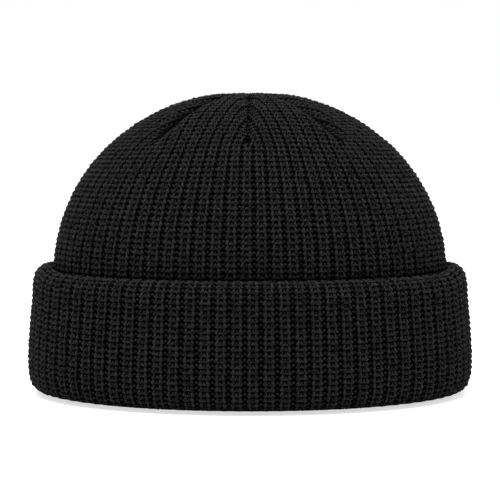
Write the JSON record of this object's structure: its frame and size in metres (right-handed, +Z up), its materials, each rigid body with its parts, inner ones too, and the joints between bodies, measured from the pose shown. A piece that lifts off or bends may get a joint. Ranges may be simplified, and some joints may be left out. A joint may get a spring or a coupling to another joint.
{
  "type": "ribbed knit beanie with turned-up cuff",
  "caption": "Soft knit cap: a rounded, gored crown in a one-by-one rib over a deep folded cuff, open below for the head.",
  "frame": {"origin": "centre of the oval that the cuff's lower fold stands on, at floor height", "axes": "+Z up through the crown's top, X across the wide way of the oval, -Y towards the front"},
  "size_m": [0.2018, 0.1398, 0.1358],
  "materials": {
    "crown_knit": "matte",
    "cuff_knit": "matte"
  },
  "bodies": {
    "root": {"crown": "crown_knit", "cuff": "cuff_knit"}
  },
  "joints": []
}
